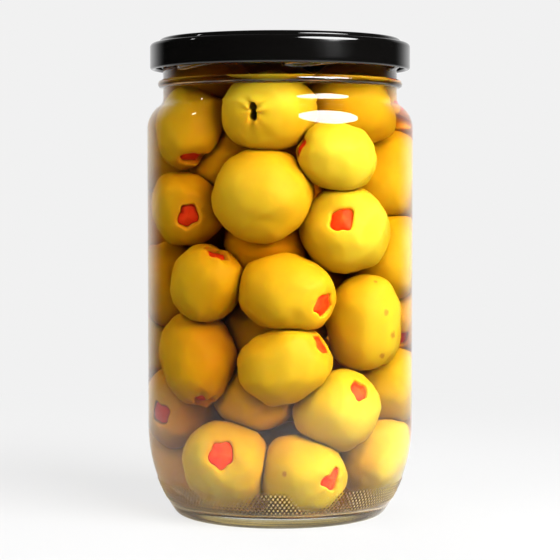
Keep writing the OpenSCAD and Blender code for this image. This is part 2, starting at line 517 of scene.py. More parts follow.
def olive_material(skin, marks):
    """Smooth cured skin: yellow, with clouds of amber, fine freckles and a browned rim round the pit hole.
    The yellow to amber blend of each olive is partly its own tone and partly painted shade, and the pit
    hole's wall is a painted near-black shade on the most browned olives.
    """
    material, tree, place = new_material("olive_skin")
    deep = (skin[0] * 0.9, skin[1] * 0.70, skin[2] * 0.35)
    light = (skin[0] * 1.0, skin[1] * 1.2, skin[2] * 30.0)
    # Painted shade: the pit hole's wall turns near black on the olives with the most browned stuffing.
    old = math_node(tree, "POWER", attribute(tree, "dull"), 3.0)
    marked = spots(tree, place, marks)
    layers = (
        (smooth_range(tree, noise(tree, place, 70, 3.0), 0.45, 0.75), 0.35, deep),
        (smooth_range(tree, noise(tree, place, 1100, 2.0), 0.62, 0.74), 0.12, (0.4, 0.2, 0.02)),
        (smooth_range(tree, noise(tree, place, 160, 4.0, 0.6), 0.71, 0.77), 0.5, (0.36, 0.15, 0.02)),
        (attribute(tree, "rim"), 0.3, (0.5, 0.22, 0.02)),
        (attribute(tree, "pit"), 1.0, mix_colour(tree, old, (0.55, 0.24, 0.02), (0.02, 0.008, 0.002))),
        (marked, 0.85, (0.2, 0.08, 0.01)),
    )
    # Yellow to amber: partly each olive's own tone, partly painted shade on the olives at the left and at the
    # back.
    base = mix_colour(tree, attribute(tree, "ripeness"), light, deep)
    for mask, strength, tint in layers:
        base = mix_colour(tree, product(tree, mask, strength), base, tint)
    relief = math_node(tree, "SUBTRACT", noise(tree, place, 420, 3.0), marked)
    shader = add_node(tree, "ShaderNodeBsdfPrincipled", {
        "Base Color": base,
        "Roughness": 0.45,
        "Specular IOR Level": 0.03,
        "Subsurface Weight": math_node(tree, "MULTIPLY_ADD", marked, -0.7, 0.7),
        "Subsurface Radius": (1.0, 0.42, 0.06),
        "Subsurface Scale": 4.5 * MM,
        "Normal": bump(tree, relief, 0.3, 0.15 * MM),
    })
    set_surface(tree, shader.outputs[0])
    return material


def pimento_material(flesh):
    """Soft wet red pepper, lighter in soft patches and darker where it is old."""
    material, tree, place = new_material("pimento_flesh")
    mottle = smooth_range(tree, noise(tree, place, 350, 3.0), 0.35, 0.7)
    light = (min(flesh[0] * 1.1, 1), flesh[1] * 2.4, flesh[2] * 2.0)
    tint = mix_colour(tree, mottle, flesh, light)
    shader = add_node(tree, "ShaderNodeBsdfPrincipled", {
        "Base Color": mix_colour(tree, attribute(tree, "dull"), tint, (0.32, 0.02, 0.01)),
        "Roughness": 0.4,
        "Specular IOR Level": 0.05,
        "Normal": bump(tree, noise(tree, place, 900, 2.0), 0.4, 0.2 * MM),
    })
    set_surface(tree, shader.outputs[0])
    return material


# ---------------------------------------------------------------- glass


def thread_lift(angle, z):
    """How far the thread ridges stand out of the neck at this angle and height, in millimetres."""
    step = TAU / THREAD_COUNT
    turn = (angle + step / 2) % step - step / 2
    path_r = NECK_R + THREAD_OUT - THREAD_R
    middle = THREAD_Z + path_r * math.sin(turn) * math.sin(THREAD_SLOPE)
    end = min(1.0, max(0.0, (THREAD_HALF - abs(turn)) / math.radians(3.5)))
    radius = THREAD_R * (0.35 + 0.65 * math.sqrt(end)) if end > 0 else 0
    away = abs(z - middle)
    if away >= radius:
        return 0.0
    return max(0.0, math.sqrt(radius * radius - away * away) - (THREAD_R - THREAD_OUT) * 0.5 - 0.2)


def glass_rings(coarse, fine):
    """Rings of the glass from the middle of its underside, up the outside and down the inside."""
    ring_in = foot_centre() - FOOT_RING_W
    under = [(r, z, coarse) for r, z in reversed(dome(ring_in, 0, PUSH_UP, 3.0))]
    foot_and_body = body_outline(0, 1.2)
    low = [p for p in foot_and_body if p[1] < STIPPLE_LOW]
    high = [p for p in foot_and_body if p[1] > STIPPLE_HIGH]
    start = math.degrees(math.asin((STIPPLE_LOW - HEEL_H) / HEEL_R))
    end = math.degrees(math.asin((STIPPLE_HIGH - HEEL_H) / HEEL_R))
    band = arc(HEEL_CR, HEEL_H, HEEL_R, start, end, 0.29)
    reach = min(105, math.degrees(math.acos((BEAD_R - BEAD_OUT) / BEAD_R)))
    bead = arc(NECK_R + BEAD_OUT - BEAD_R, BEAD_Z, BEAD_R, -reach, reach, 0.22)
    neck = join(
        line(NECK_R, THROAT_Z, NECK_R, BEAD_Z - BEAD_R, 0.8),
        bead,
        line(NECK_R, BEAD_Z + BEAD_R, NECK_R, JAR_H - WALL / 2, 0.33),
        arc(NECK_R - WALL / 2, JAR_H - WALL / 2, WALL / 2, 0, 180, 0.35),
    )
    rings = under + [(r, z, coarse) for r, z in low]
    rings += [(r, z, fine) for r, z in band]
    rings += [(r, z, coarse) for r, z in join(high, neck)]
    outside_count = len(rings)
    inside = join(
        line(NECK_R - WALL, JAR_H - WALL / 2, NECK_R - WALL, THROAT_Z, 1.5),
        list(reversed(body_outline(WALL, 1.2))),
        dome(corner_centre(WALL), FLOOR_EDGE, FLOOR_TOP - FLOOR_EDGE, 2.5),
    )
    rings += [(r, z, coarse) for r, z in inside if z < JAR_H - WALL / 2 - 0.01]
    rings[0] = (0.0, rings[0][1], coarse)
    rings[-1] = (0.0, rings[-1][1], coarse)
    return rings, outside_count


def stipple_tree():
    """Geometry Nodes that raise staggered dots on the outside of the heel."""
    tree, inputs = new_tree("heel_stipple", {
        "Dots": "Int", "Row": "Float", "Height": "Float", "Low": "Float", "High": "Float",
        "Material": "Material",
    })
    position = add_node(tree, "GeometryNodeInputPosition").outputs[0]
    x, y, z = add_node(tree, "ShaderNodeSeparateXYZ", {0: position}).outputs
    round_the_jar = product(tree, math_node(tree, "ARCTAN2", y, x), inputs["Dots"])
    up_the_jar = product(tree, math_node(tree, "DIVIDE", z, inputs["Row"]), TAU)
    waves = [math_node(tree, "COSINE", way) for way in (round_the_jar, up_the_jar)]
    dots = math_node(tree, "MAXIMUM", product(tree, *waves), 0.0)
    fade = 1.5 * MM
    above = smooth_range(tree, z, inputs["Low"], math_node(tree, "ADD", inputs["Low"], fade))
    below = smooth_range(tree, z, math_node(tree, "SUBTRACT", inputs["High"], fade), inputs["High"])
    outer = add_node(tree, "GeometryNodeInputNamedAttribute", {"Name": "outside"}, data_type="FLOAT")
    band = product(tree, above, one_less(tree, below), outer.outputs["Attribute"])
    lift = product(tree, dots, band, inputs["Height"])
    normal = add_node(tree, "GeometryNodeInputNormal").outputs[0]
    offset = add_node(tree, "ShaderNodeVectorMath", {0: normal, "Scale": lift}, operation="SCALE").outputs[0]
    moved = {"Geometry": inputs["Geometry"], "Offset": offset}
    raised = add_node(tree, "GeometryNodeSetPosition", moved).outputs[0]
    # The dots and the band are kept for the painted highlights and shade in the glass's material.
    for name, value in (("dots", dots), ("band", band)):
        stored = {"Geometry": raised, "Name": name, "Value": value}
        raised = add_node(tree, "GeometryNodeStoreNamedAttribute", stored, data_type="FLOAT").outputs[0]
    end_tree(tree, raised, inputs["Material"])
    return tree


def part_glass(piece, wetted, foot):
    """Gives the inside of the glass, up to the brine's level, its own barely shining finish, and the foot its
    painted amber light and shade."""
    mesh = piece.data
    mesh.materials.append(wetted)
    mesh.materials.append(foot)
    outside = np.empty(len(mesh.vertices), dtype=np.float32)
    mesh.attributes["outside"].data.foreach_get("value", outside)
    level = float(BRINE_HIGH[2])
    for face in mesh.polygons:
        if outside[list(face.vertices)].max() == 0 and face.center.z < level:
            face.material_index = 1
        elif face.center.z < FOOT_H * MM:
            face.material_index = 2


def mark_gaps(piece, bodies):
    """Writes on the stippled band where brine, not an olive, is behind the glass: where the dots' painted
    highlights and shade show.
    """
    mesh = piece.data
    points = np.empty(len(mesh.vertices) * 3)
    mesh.vertices.foreach_get("co", points)
    points = points.reshape(-1, 3) / MM
    behind = points * [0.88, 0.88, 1] + [0, 0, 1.2]
    nearest = np.min([body_level(behind, body) for body in bodies], axis=0)
    gap = np.clip((nearest - 0.98) / 0.08, 0, 1).astype(np.float32)
    mesh.attributes.new("gap", "FLOAT", "POINT").data.foreach_set("value", gap)


class OLIVEJAR_OT_glass(bpy.types.Operator):
    """Build the glass jar with its bead, threads and stippled heel"""

    bl_idname = "olivejar.glass"
    bl_label = "Glass Jar"

    def execute(self, context):
        settings = context.scene.olivejar_jar
        tint = tuple(settings.tint)
        material = glass_material("clear_glass", tint)
        wetted = glass_material("wetted_glass", tint, 0.08)
        foot = glass_material("foot_glass", tint)
        paint_knurl_glints_and_shade(material, tint)
        paint_foot_amber_light(foot)
        coarse = settings.stipple_count
        rings, outside_count = glass_rings(coarse, coarse * 5)
        vertices, faces = lathe(rings)
        points = np.array(vertices)
        low, high = THREAD_LOW * MM, THREAD_HIGH * MM
        reach = np.hypot(points[:, 0], points[:, 1])
        threaded = (points[:, 2] > low) & (points[:, 2] < high) & (reach > (NECK_R - 0.05) * MM)
        for i in np.nonzero(threaded)[0]:
            x, y, z = points[i]
            grow = 1 + thread_lift(math.atan2(y, x), z / MM) * MM / reach[i]
            points[i, :2] *= grow
        piece = new_piece("glass_jar", points, faces, material)
        outside = np.zeros(len(points), dtype=np.float32)
        outside[: sum(1 if r < 1e-6 else n for r, _, n in rings[:outside_count])] = 1.0
        piece.data.attributes.new("outside", "FLOAT", "POINT").data.foreach_set("value", outside)
        apply_nodes(piece, stipple_tree(), {
            "Dots": settings.stipple_count,
            "Row": settings.stipple_row,
            "Height": settings.stipple_height,
            "Low": STIPPLE_LOW * MM,
            "High": STIPPLE_HIGH * MM,
            "Material": material,
        })
        part_glass(piece, wetted, foot)
        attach(piece, "root")
        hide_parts("jar")
        return {"FINISHED"}


# ---------------------------------------------------------------- lid


LID_R = float(LID_HIGH[0] - LID_LOW[0]) / 2 / MM
LID_Z = float(LID_LOW[2]) / MM
LID_TOP = float(LID_HIGH[2]) / MM
LEDGE_Z = LID_TOP - 1.5
LID_EDGE_R, CURL_R, METAL = 1.4, 0.9, 0.6
RIM_R, RIM_RISE, PANEL_R, PANEL_SINK = 39.4, 1.5, 33.4, 0.9
LUG_HALF, LUG_PLACE = math.radians(6.0), math.radians(20.4)


def lid_outline():
    """The lid's section, from the middle of its top, out and down the skirt, and back inside."""
    skirt_in = LID_R - METAL
    return join(
        line(0, LID_TOP - PANEL_SINK, PANEL_R - 3.2, LID_TOP - PANEL_SINK, 4),
        arc(PANEL_R - 3.2, LID_TOP - PANEL_SINK + 1.2, 1.2, -90, -58, 0.2),
        arc(PANEL_R - 0.4, LID_TOP - 1.2, 1.2, 125, 90, 0.2),
        line(PANEL_R, LID_TOP, RIM_R - RIM_RISE, LID_TOP, 1.5),
        arc(RIM_R - RIM_RISE, LEDGE_Z, RIM_RISE, 90, 12, 0.22),
        arc(RIM_R + 0.55, LEDGE_Z + 0.5, 0.5, 190, 270, 0.2),
        line(RIM_R + 0.55, LEDGE_Z, LID_R - LID_EDGE_R, LEDGE_Z, 0.4),
        arc(LID_R - LID_EDGE_R, LEDGE_Z - LID_EDGE_R, LID_EDGE_R, 90, 0, 0.15),
        line(LID_R, LEDGE_Z - LID_EDGE_R, LID_R, LID_Z + CURL_R, 1.0),
        arc(LID_R - CURL_R, LID_Z + CURL_R, CURL_R, 0, -200, 0.2),
        line(skirt_in, LID_Z + 2 * CURL_R + 0.2, skirt_in, LEDGE_Z - METAL - 0.8, 1.0),
        arc(skirt_in - 0.8, LEDGE_Z - METAL - 0.8, 0.8, 0, 90, 0.2),
        line(skirt_in - 0.8, LEDGE_Z - METAL, RIM_R - METAL, LEDGE_Z - METAL, 0.6),
        line(RIM_R - METAL, LEDGE_Z - METAL, RIM_R - METAL, JAR_H, 0.4),
        line(RIM_R - METAL, JAR_H, 0, JAR_H, 4),
    )


def lug_section():
    """Rounded section of a lug, (r, z) in millimetres, going round it."""
    inner, outer, low, high = NECK_R + 0.5, LID_R - METAL / 2, LID_Z + 0.45, LID_Z + 1.65
    middle = (low + high) / 2
    radius = (high - low) / 2
    nose = arc(inner + radius, middle, radius, 90, 270, 0.3)
    return [(outer, high)] + nose + [(outer, low)]


def lug_tree():
    """Geometry Nodes that repeat one lug evenly round the lid."""
    tree, inputs = new_tree("lug_ring", {"Count": "Int", "Material": "Material"})
    points = add_node(tree, "GeometryNodePoints", {"Count": inputs["Count"]}).outputs[0]
    index = add_node(tree, "GeometryNodeInputIndex").outputs[0]
    turn = math_node(tree, "DIVIDE", product(tree, index, TAU), inputs["Count"])
    spin = add_node(tree, "ShaderNodeCombineXYZ", {"Z": turn}).outputs[0]
    placed = {"Points": points, "Instance": inputs["Geometry"], "Rotation": spin}
    ring = add_node(tree, "GeometryNodeInstanceOnPoints", placed).outputs[0]
    end_tree(tree, ring, inputs["Material"])
    return tree


class OLIVEJAR_OT_lid(bpy.types.Operator):
    """Build the enamelled metal lid and the lugs turned in from its edge"""

    bl_idname = "olivejar.lid"
    bl_label = "Lid"

    def execute(self, context):
        settings = context.scene.olivejar_lid
        material = enamel_material(tuple(settings.enamel))
        vertices, faces = lathe(turned_rings(lid_outline(), 180))
        shell = new_piece("lid_shell", vertices, [tuple(reversed(f)) for f in faces], material)

        section = lug_section()
        steps = 8
        points, sides = [], []
        for k in range(steps + 1):
            angle = LUG_PLACE - LUG_HALF + 2 * LUG_HALF * k / steps
            points += [(r * MM * math.cos(angle), r * MM * math.sin(angle), z * MM) for r, z in section]
        count = len(section)
        for k in range(steps):
            for j in range(count):
                a, b = k * count + j, k * count + (j + 1) % count
                sides.append((a, b, b + count, a + count))
        sides.append(tuple(reversed(range(count))))
        sides.append(tuple(range(steps * count, (steps + 1) * count)))
        lugs = new_piece("lid_lugs", points, sides, material, smooth=False)
        apply_nodes(lugs, lug_tree(), {"Count": settings.lug_count, "Material": material})
        lugs.data.shade_flat()
        for piece in (shell, lugs):
            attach(piece, "root")
            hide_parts("lid")
        return {"FINISHED"}


# ---------------------------------------------------------------- contents


class OLIVEJAR_OT_brine(bpy.types.Operator):
    """Build the brine, which reaches just into the glass wall"""

    bl_idname = "olivejar.brine"
    bl_label = "Brine"

    def execute(self, context):
        material = brine_material()
        reach = 0.15
        level = float(BRINE_HIGH[2]) / MM
        bottom = dome(corner_centre(WALL - reach), FLOOR_EDGE - reach, FLOOR_TOP - FLOOR_EDGE, 3.0)
        outline = join(
            list(reversed(bottom)),
            [(r, z - reach if z < FLOOR_TOP else z) for r, z in body_outline(WALL - reach, 1.5)],
            line(NECK_R - WALL + reach, THROAT_Z, NECK_R - WALL + reach, level, 2.0),
            line(NECK_R - WALL + reach, level, 0, level, 4.0),
        )
        vertices, faces = lathe(turned_rings(outline, 200))
        piece = new_piece("brine_body", vertices, faces, material)
        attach(piece, "root")
        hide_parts("brine")
        return {"FINISHED"}


class Olive(NamedTuple):
    """Where an olive lies and how it looks. Sizes in millimetres, angles in degrees."""

    around: float  # angle of its middle round the jar, to the right of the front
    height: float  # height of its middle above the floor
    gap: float  # between it and the glass
    length: float
    girth: float
    end_around: float  # where its stuffed end points: round the jar
    end_up: float  # and upwards
    # ripeness: partly the olive's own tone, partly painted shade, higher on the olives at the left and at the
    # back, away from the key light.
    ripeness: float = 0.4  # 0 light yellow, 1 amber
    hole: float = 3.8  # radius of the pit hole
    corners: int = 4  # of the pit hole's outline
    sunk: float = 0.0  # how deep the stuffing has slipped in
    # dull: 1 for browned stuffing; it also gives the pit hole's wall a painted near-black shade.
    dull: float = 0.0  # 1 for stuffing that has browned
    creases: float = 0.0  # depth of the creases round the hole
    roll: float = 30.0  # how the hole's outline is turned


# The eighth value of each, the amber, is partly painted shade: higher for the olives at the left and at the
# back.
PLACED_OLIVES = [
    Olive(-63, 123, 0, 28, 22, 12, -52, 0.6, 4.2, 2, 0.8, 0.5, 0.1, 0),
    Olive(-8, 129, 0, 28, 26, -22, -4, 0.25, 1.9, 2, 7.0, 1.0, 0.7, 100),
    Olive(63, 131, 5, 28, 24, 120, 10, 0.5),
    Olive(33, 116, 0, 25, 21, -72, 14, 0.0, 3.6, 4, 0.3, 0.3),
    Olive(-16, 105, 0, 31, 29, 170, 30, 0.5),
    Olive(-66, 101, 0, 27, 24, -5, -12, 0.75, 4.2, 5, 0.6, 0.5, 0.0, 20),
    Olive(45, 93, 0, 29, 27, 0, 15, 0.1, 4.0, 4, 0.3, 0.0, 0.0, 45),
    Olive(100, 109, 1, 31, 25, 150, 60, 0.1),
    Olive(-46, 115, 9, 24, 22, 200, -20, 0.7),
    Olive(-46, 76, 0, 25, 22, 30, 60, 0.65, 3.6, 4, 0.6, 0.6, 0.3),
    Olive(3, 75, 0, 29, 24.5, 56, -14, 0.6, 4.2, 5, 0.0, 0.0, 0.0, 90),
    Olive(58, 64, 0, 31, 24, 120, -86, 0.35),
    Olive(-55, 51, 0, 30, 24, 12, -65, 0.85, 3.4, 3, 1.2, 0.4, 0.5),
    Olive(0, 49, 0, 28, 24, 74, 32, 0.5, 3.6, 4, 0.0),
    Olive(35, 36, 0, 26, 25, 47, 35, 0.1, 3.6, 5, 0.1, 0.0, 0.0, 60),
    Olive(-85, 36, 1, 26, 25, -42, -8, 0.75, 4.2, 4, 0.6, 0.9),
    Olive(-19, 43, 9, 24, 22, 200, 5, 0.55),
    Olive(-33, 20, 0, 28, 26.5, -12, 17, 0.25, 4.7, 5, 0.0, 0.0, 0.0, 90),
    Olive(12, 15, 0, 27, 23.5, 46, -6, 0.1, 3.6, 3, 0.0, 0.0, 0.2, 0),
    Olive(76, 20, 0, 25, 23, 160, 10, 0.0),
    Olive(92, 42, 0, 26, 24, 170, -20, 0.1),
    Olive(112, 66, 0, 26, 24, 22, -45, 0.4, 4.0, 4, 0.5, 0.8),
    Olive(-10, 88, 12, 24, 22, 190, 40, 0.85),
]

# Small browned spots: which olive, then where on it, round and up, and the spot's radius
BROWN_SPOTS = [
    (18, -24, 6, 1.1), (11, 30, 62, 0.9), (11, 46, 12, 1.3), (11, 62, -20, 1.5), (11, 44, -48, 1.3),
]

BOX_POWER = 2.25  # 2 for a plain ellipsoid, more for squarer sides


def aim(around, up):
    """Unit vector that points this many degrees round the jar from its front, and up."""
    a, e = math.radians(around), math.radians(up)
    return np.array([math.sin(a) * math.cos(e), -math.cos(a) * math.cos(e), math.sin(e)])


def wall_push(centres, reach_out, reach_down, clear):
    """How far each olive has to move to lie inside the glass; centres in millimetres."""
    push = np.zeros_like(centres)
    radial = np.hypot(centres[:, 0], centres[:, 1]) + 1e-9
    out = np.stack([centres[:, 0] / radial, centres[:, 1] / radial], axis=1)
    over = np.zeros(len(centres))
    body = centres[:, 2] >= HEEL_H
    over[body] = (radial + reach_out - (BODY_R - WALL - clear))[body]
    heel = np.hypot(radial - HEEL_CR, centres[:, 2] - HEEL_H) + reach_out - (HEEL_R - WALL - clear)
    over[~body] = heel[~body]
    edge_r, edge_z = NECK_R - WALL + 1.2, THROAT_Z - 3.0
    high = centres[:, 2] + reach_out > edge_z
    gap = np.hypot(radial - edge_r, np.minimum(centres[:, 2] - edge_z, 0))
    neck = reach_out + clear - gap
    over[high] = np.maximum(over[high], neck[high])
    over = np.maximum(over, 0)
    push[:, :2] -= out * over[:, None]
    low = FLOOR_EDGE + 0.8 + clear + reach_down - centres[:, 2]
    push[:, 2] += np.maximum(low, 0)
    top = centres[:, 2] + reach_down - (float(BRINE_HIGH[2]) / MM - 1.0)
    push[:, 2] -= np.maximum(top, 0)
    return push


def pack_olives(total, seed):
    """Places the olives: the chosen ones where they are, the rest settled round them.
    Returns the olives, their middles and the directions of their stuffed ends, in millimetres."""
    rng = np.random.default_rng(seed)
    olives = list(PLACED_OLIVES)
    centres, ends = [], []
    for olive in olives:
        end, out = aim(olive.end_around, olive.end_up), aim(olive.around, 0)
        half, thick = olive.length / 2, olive.girth / 2
        reach = math.sqrt(thick**2 + (half**2 - thick**2) * float(out @ end) ** 2)
        centre = out * (float(inner_radius(np.array(float(olive.height)), 0.3)) - reach - olive.gap)
        centre[2] = olive.height
        centres.append(centre)
        ends.append(end)
    while len(olives) < total:
        tries = rng.uniform([-30, -30, 18], [30, 30, 136], (400, 3))
        tries = tries[np.hypot(tries[:, 0], tries[:, 1]) < 28]
        near = np.min(np.linalg.norm(tries[:, None] - np.array(centres)[None], axis=2), axis=1)
        centres.append(tries[int(np.argmax(near))])
        way = rng.normal(size=3)
        ends.append(way / np.linalg.norm(way))
        olives.append(Olive(
            0, 0, 0, rng.uniform(25, 30), rng.uniform(22, 26), 0, 0, rng.uniform(0.2, 0.8),
            rng.uniform(3.3, 4.4), int(rng.integers(3, 6)), rng.uniform(0, 0.8), rng.uniform(0, 0.6),
            rng.uniform(0, 0.3), rng.uniform(0, 360),
        ))
    centres, ends = np.array(centres), np.array(ends)
    half_l = np.array([olive.length for olive in olives]) / 2
    half_g = np.array([olive.girth for olive in olives]) / 2
    firm = np.arange(total) < len(PLACED_OLIVES)
    homes = centres.copy()

    def support(direction):
        way_ends = ends[:, None] if direction.ndim == 3 else ends
        thick, stretch = half_g**2, half_l**2 - half_g**2
        if direction.ndim == 3:
            thick, stretch = thick[:, None], stretch[:, None]
        return np.sqrt(thick + stretch * (direction * way_ends).sum(axis=-1) ** 2)

    freedom = np.where(firm, 0.04, 1.0)
    share = freedom[:, None] / (freedom[:, None] + freedom[None])
    both_firm = firm[:, None] & firm[None]
    share[both_firm] = 0.12
    for _ in range(500):
        between = centres[None] - centres[:, None]
        distance = np.linalg.norm(between, axis=2) + 1e-9
        way = between / distance[..., None]
        reach = support(way)
        overlap = reach + reach.T - 0.7 - distance - 1.3 * both_firm
        np.fill_diagonal(overlap, 0)
        overlap = np.maximum(overlap, 0)
        move = -(way * (overlap * share)[..., None]).sum(axis=1) * 0.35
        move += (homes - centres) * firm[:, None] * 0.06
        move[:, 2] -= 0.01 * ~firm
        centres = centres + move
        out = centres * [1.0, 1.0, 0.0]
        out /= np.linalg.norm(out, axis=1)[:, None] + 1e-9
        down = np.tile([0.0, 0.0, -1.0], (total, 1))
        centres = centres + wall_push(centres, support(out), support(down), 0.3)
    return olives, centres, ends


INNER_RINGS = 6
SEGMENTS = 48


def olive_shape(rng, olive):
    """Polar grid of one olive about its own centre, its stuffed end on +X, in millimetres.
    Returns points (ring, segment, xyz), their polar angles and the angle of the hole's edge."""
    half_l, half_g = olive.length / 2, olive.girth / 2
    theta = np.arange(SEGMENTS) * TAU / SEGMENTS
    lean = rng.uniform(0, TAU)
    notch = {2: 0.36, 3: 0.22, 4: 0.10, 5: 0.07}[olive.corners]
    outline = 1 + notch * np.cos(olive.corners * theta) + 0.08 * np.cos(2 * (theta - lean))
    outline += 0.04 * np.cos(3 * (theta + lean)) + 0.03 * np.cos(7 * theta + lean)
    hole_angle = np.arcsin(np.minimum(olive.hole * outline / half_g, 0.9) ** (BOX_POWER / 2))
    inside = [0.0, 0.35, 0.7, 0.88, 0.96, 0.99]
    outside = np.linspace(0, 1, 28) ** 1.15
    beyond = [hole_angle + (math.pi - hole_angle) * k for k in outside]
    polar = np.array([hole_angle * k for k in inside] + beyond)
    cosine, sine = np.cos(polar), np.maximum(np.sin(polar), 0)
    x = half_l * np.sign(cosine) * np.abs(cosine) ** (2 / BOX_POWER)
    girth = half_g * sine ** (2 / BOX_POWER) * (1 + rng.uniform(-0.04, 0.07) * cosine)
    return np.stack([x, girth * np.cos(theta), girth * np.sin(theta)], axis=2), polar, hole_angle


def add_lumps(points, offset):
    """Low dents and swellings, up to about half a millimetre, on points about their own middle."""
    flat = points.reshape(-1, 3)
    lift = np.empty(len(flat))
    for i, point in enumerate(flat):
        way = Vector(point).normalized()
        lift[i] = 1.1 * lump_noise.noise(way * 1.6 + offset) + 0.4 * lump_noise.noise(way * 4.0 + offset)
    reach = np.linalg.norm(flat, axis=1)
    return (flat * (1 + lift / np.maximum(reach, 1))[:, None]).reshape(points.shape)


def turn_to(end, roll):
    """Rotation matrix whose X column is end, rolled about it."""
    side = np.cross(end, [0.0, 0.0, 1.0] if abs(end[2]) < 0.9 else [1.0, 0.0, 0.0])
    side /= np.linalg.norm(side)
    y = side * math.cos(roll) + np.cross(end, side) * math.sin(roll)
    return np.stack([end, y, np.cross(end, y)], axis=1)


def body_level(points, frame_of):
    """1 on the skin of an olive, less inside it. frame_of is its (middle, matrix to unit size)."""
    local = (points - frame_of[0]) @ frame_of[1]
    side = local[..., 1] ** 2 + local[..., 2] ** 2
    return (np.abs(local[..., 0]) ** BOX_POWER + side ** (BOX_POWER / 2)) ** (1 / BOX_POWER)


def glass_margin(points, clear):
    """Distance from each point in to the glass, negative outside, in millimetres."""
    radial = np.hypot(points[..., 0], points[..., 1])
    side = inner_radius(points[..., 2], clear) - radial
    return np.minimum(side, points[..., 2] - floor_height(radial) - clear)


def furthest(free, shape):
    """Largest share of the way out, from 0 to 1, at which free(share) still holds."""
    low, high = np.zeros(shape), np.ones(shape)
    for _ in range(12):
        middle = (low + high) / 2
        good = free(middle[..., None])
        low, high = np.where(good, middle, low), np.where(good, high, middle)
    return low


def squeeze(points, own, others, clear):
    """Share of each point's distance from the middle that is left once the olive has flattened
    against its neighbours and the glass."""
    centre = own[0]
    away = points - centre
    keep = np.ones(points.shape[:2])
    for other in others:
        if (body_level(points, other) > 1.1).all():
            continue
        reach = furthest(
            lambda t: body_level(centre + away * t, other) > body_level(centre + away * t, own), keep.shape
        )
        keep = np.minimum(keep, np.where(reach > 0.998, 1, reach * 0.992))
    reach = furthest(lambda t: glass_margin(centre + away * t, clear) > 0, keep.shape)
    keep = np.where(glass_margin(points, clear) < 0, np.minimum(keep, reach), keep)
    soft = keep.copy()
    for _ in range(7):
        around = (np.roll(soft, 1, axis=1) + np.roll(soft, -1, axis=1)) / 2
        along = soft.copy()
        along[1:-1] = (soft[2:] + soft[:-2]) / 2
        soft = np.minimum(keep, (soft + around + along) / 3)
    return soft


def grid_faces(start, rings):
    """Faces of a polar grid whose first and last rings are single points."""
    first = start + 1
    ends = [(i, (i + 1) % SEGMENTS) for i in range(SEGMENTS)]
    faces = [(start, first + i, first + j) for i, j in ends]
    for k in range(rings - 3):
        a = first + k * SEGMENTS
        b = a + SEGMENTS
        faces.extend((a + i, b + i, b + j, a + j) for i, j in ends)
    last = first + (rings - 2) * SEGMENTS
    faces.extend((last - SEGMENTS + i, last, last - SEGMENTS + j) for i, j in ends)
    return faces


def grid_points(points):
    """Flat list of a polar grid's points, with its first and last rings as single points."""
    points = points.reshape(points.shape[0], SEGMENTS, -1)
    return np.concatenate([points[:1, 0], points[1:-1].reshape(-1, points.shape[2]), points[-1:, 0]])


class Batch:
    """Polar grids gathered into one mesh, with their named values."""

    def __init__(self):
        self.points, self.faces, self.values, self.count = [], [], {}, 0

    def add(self, points, **values):
        """Adds one grid of points in millimetres, with a number or a grid for each value."""
        self.faces += grid_faces(self.count, len(points))
        flat = grid_points(points) * MM
        self.points.append(flat)
        self.count += len(flat)
        for name, value in values.items():
            grid = np.broadcast_to(value, points.shape[:2])
            self.values.setdefault(name, []).append(grid_points(grid)[:, 0])

    def piece(self, name, material):
        """The gathered grids as one object."""
        piece = new_piece(name, np.concatenate(self.points), self.faces, material)
        for label, values in self.values.items():
            layer = piece.data.attributes.new(label, "FLOAT", "POINT")
            layer.data.foreach_set("value", np.concatenate(values).astype(np.float32))
        return piece


def dress_skin(centre, away, polar, hole_angle, olive, phase):
    """The skin with its pit hole, rounded rim and creases, and how near each point is to the rim."""
    beyond = (polar - hole_angle) * olive.length / 2
    reach = np.linalg.norm(away, axis=2)
    theta = np.arange(SEGMENTS) * TAU / SEGMENTS
    folds = np.cos(5 * theta + phase) + 0.8 * np.cos(8 * theta - 2 * phase) + 0.6 * np.cos(3 * theta + 1)
    creases = 0.5 * olive.creases * folds * np.exp(-((beyond / 4.5) ** 2))
    sink = 0.55 * np.exp(-((beyond / 2.4) ** 2)) - 0.12 * np.exp(-(((beyond - 1.0) / 0.8) ** 2)) + creases
    depth = 1 + olive.sunk / 5
    sink[:INNER_RINGS] = (sink[INNER_RINGS] + depth * np.array([3.2, 3.2, 3.1, 2.7, 1.7, 0.6])[:, None])
    near_rim = np.exp(-((np.maximum(beyond, 0) / 1.2) ** 2))
    return centre + away * (1 - sink / reach)[..., None], near_rim


def stuffing_sheet(centre, away, olive, phase):
    """The stuffing that fills the pit hole: a soft cap, its sides, and a closed underside."""
    shares = np.array([0.0, 0.3, 0.6, 0.82, 0.93, 0.985, 0.985, 0.6, 0.0])[:, None]
    drops = np.array([0.75, 0.78, 0.86, 1.0, 1.25, 1.7, 3.0, 3.1, 3.1])[:, None]
    theta = np.arange(SEGMENTS) * TAU / SEGMENTS
    fold = 0.16 * shares * np.cos(3 * theta + phase) + 0.12 * np.sin(2 * theta - phase) * shares**2
    sheet = away[0][None] * (1 - shares[..., None]) + away[INNER_RINGS][None] * shares[..., None]
    size = np.linalg.norm(sheet, axis=2)
    return centre + sheet * (1 - (drops + olive.sunk + fold) / size)[..., None]


